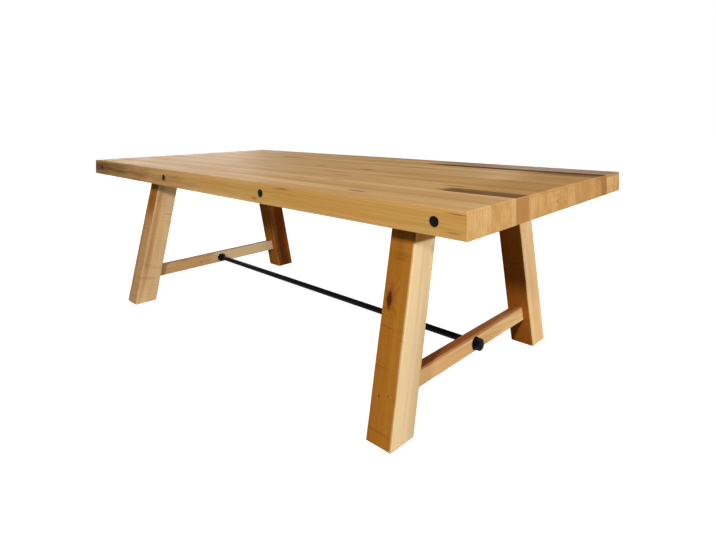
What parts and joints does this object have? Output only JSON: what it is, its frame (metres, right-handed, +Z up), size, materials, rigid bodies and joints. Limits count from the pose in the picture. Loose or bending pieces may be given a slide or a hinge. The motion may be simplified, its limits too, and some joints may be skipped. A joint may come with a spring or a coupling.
{
  "type": "dining table",
  "caption": "Long rectangular table: a thick slab of edge-laid boards clamped by cross bolts, on two splayed timber trestles joined by a low steel rod.",
  "frame": {"origin": "on the floor, under the middle of the top", "axes": "+X along the length, +Y across to the back edge, +Z up"},
  "size_m": [2.44, 1.176, 0.75],
  "materials": {
    "board_pale": "waxed, worn",
    "board_honey": "waxed, worn",
    "board_tan": "waxed, worn",
    "board_brown": "waxed, worn",
    "frame_wood": "waxed, saw marks",
    "black_steel": "satin black",
    "screw_steel": "zinc plated"
  },
  "bodies": {
    "root": {"stave_01": "board_honey", "stave_02": "board_pale", "stave_03": "board_tan", "stave_04": "board_pale", "stave_05": "board_brown", "stave_06": "board_honey", "stave_07": "board_tan", "stave_08": "board_pale", "stave_09": "board_honey", "stave_10": "board_tan", "stave_11": "board_pale", "stave_12": "board_honey", "stave_13": "board_tan", "stave_14": "board_pale", "stave_15": "board_honey", "stave_16": "board_brown", "stave_17": "board_pale", "stave_18": "board_tan", "clamp_bolts": "black_steel", "clamp_nuts": "black_steel", "tie_rod": "black_steel", "tie_rod_washers": "black_steel", "tie_rod_cap_nuts": "black_steel", "tie_rod_lock_nut": "black_steel", "leg_front_left": "frame_wood", "leg_back_left": "frame_wood", "stretcher_left": "frame_wood", "bearer_left": "frame_wood", "top_screws_left": "screw_steel", "screw_washers_left": "screw_steel", "leg_front_right": "frame_wood", "leg_back_right": "frame_wood", "stretcher_right": "frame_wood", "bearer_right": "frame_wood", "top_screws_right": "screw_steel", "screw_washers_right": "screw_steel"}
  },
  "joints": []
}
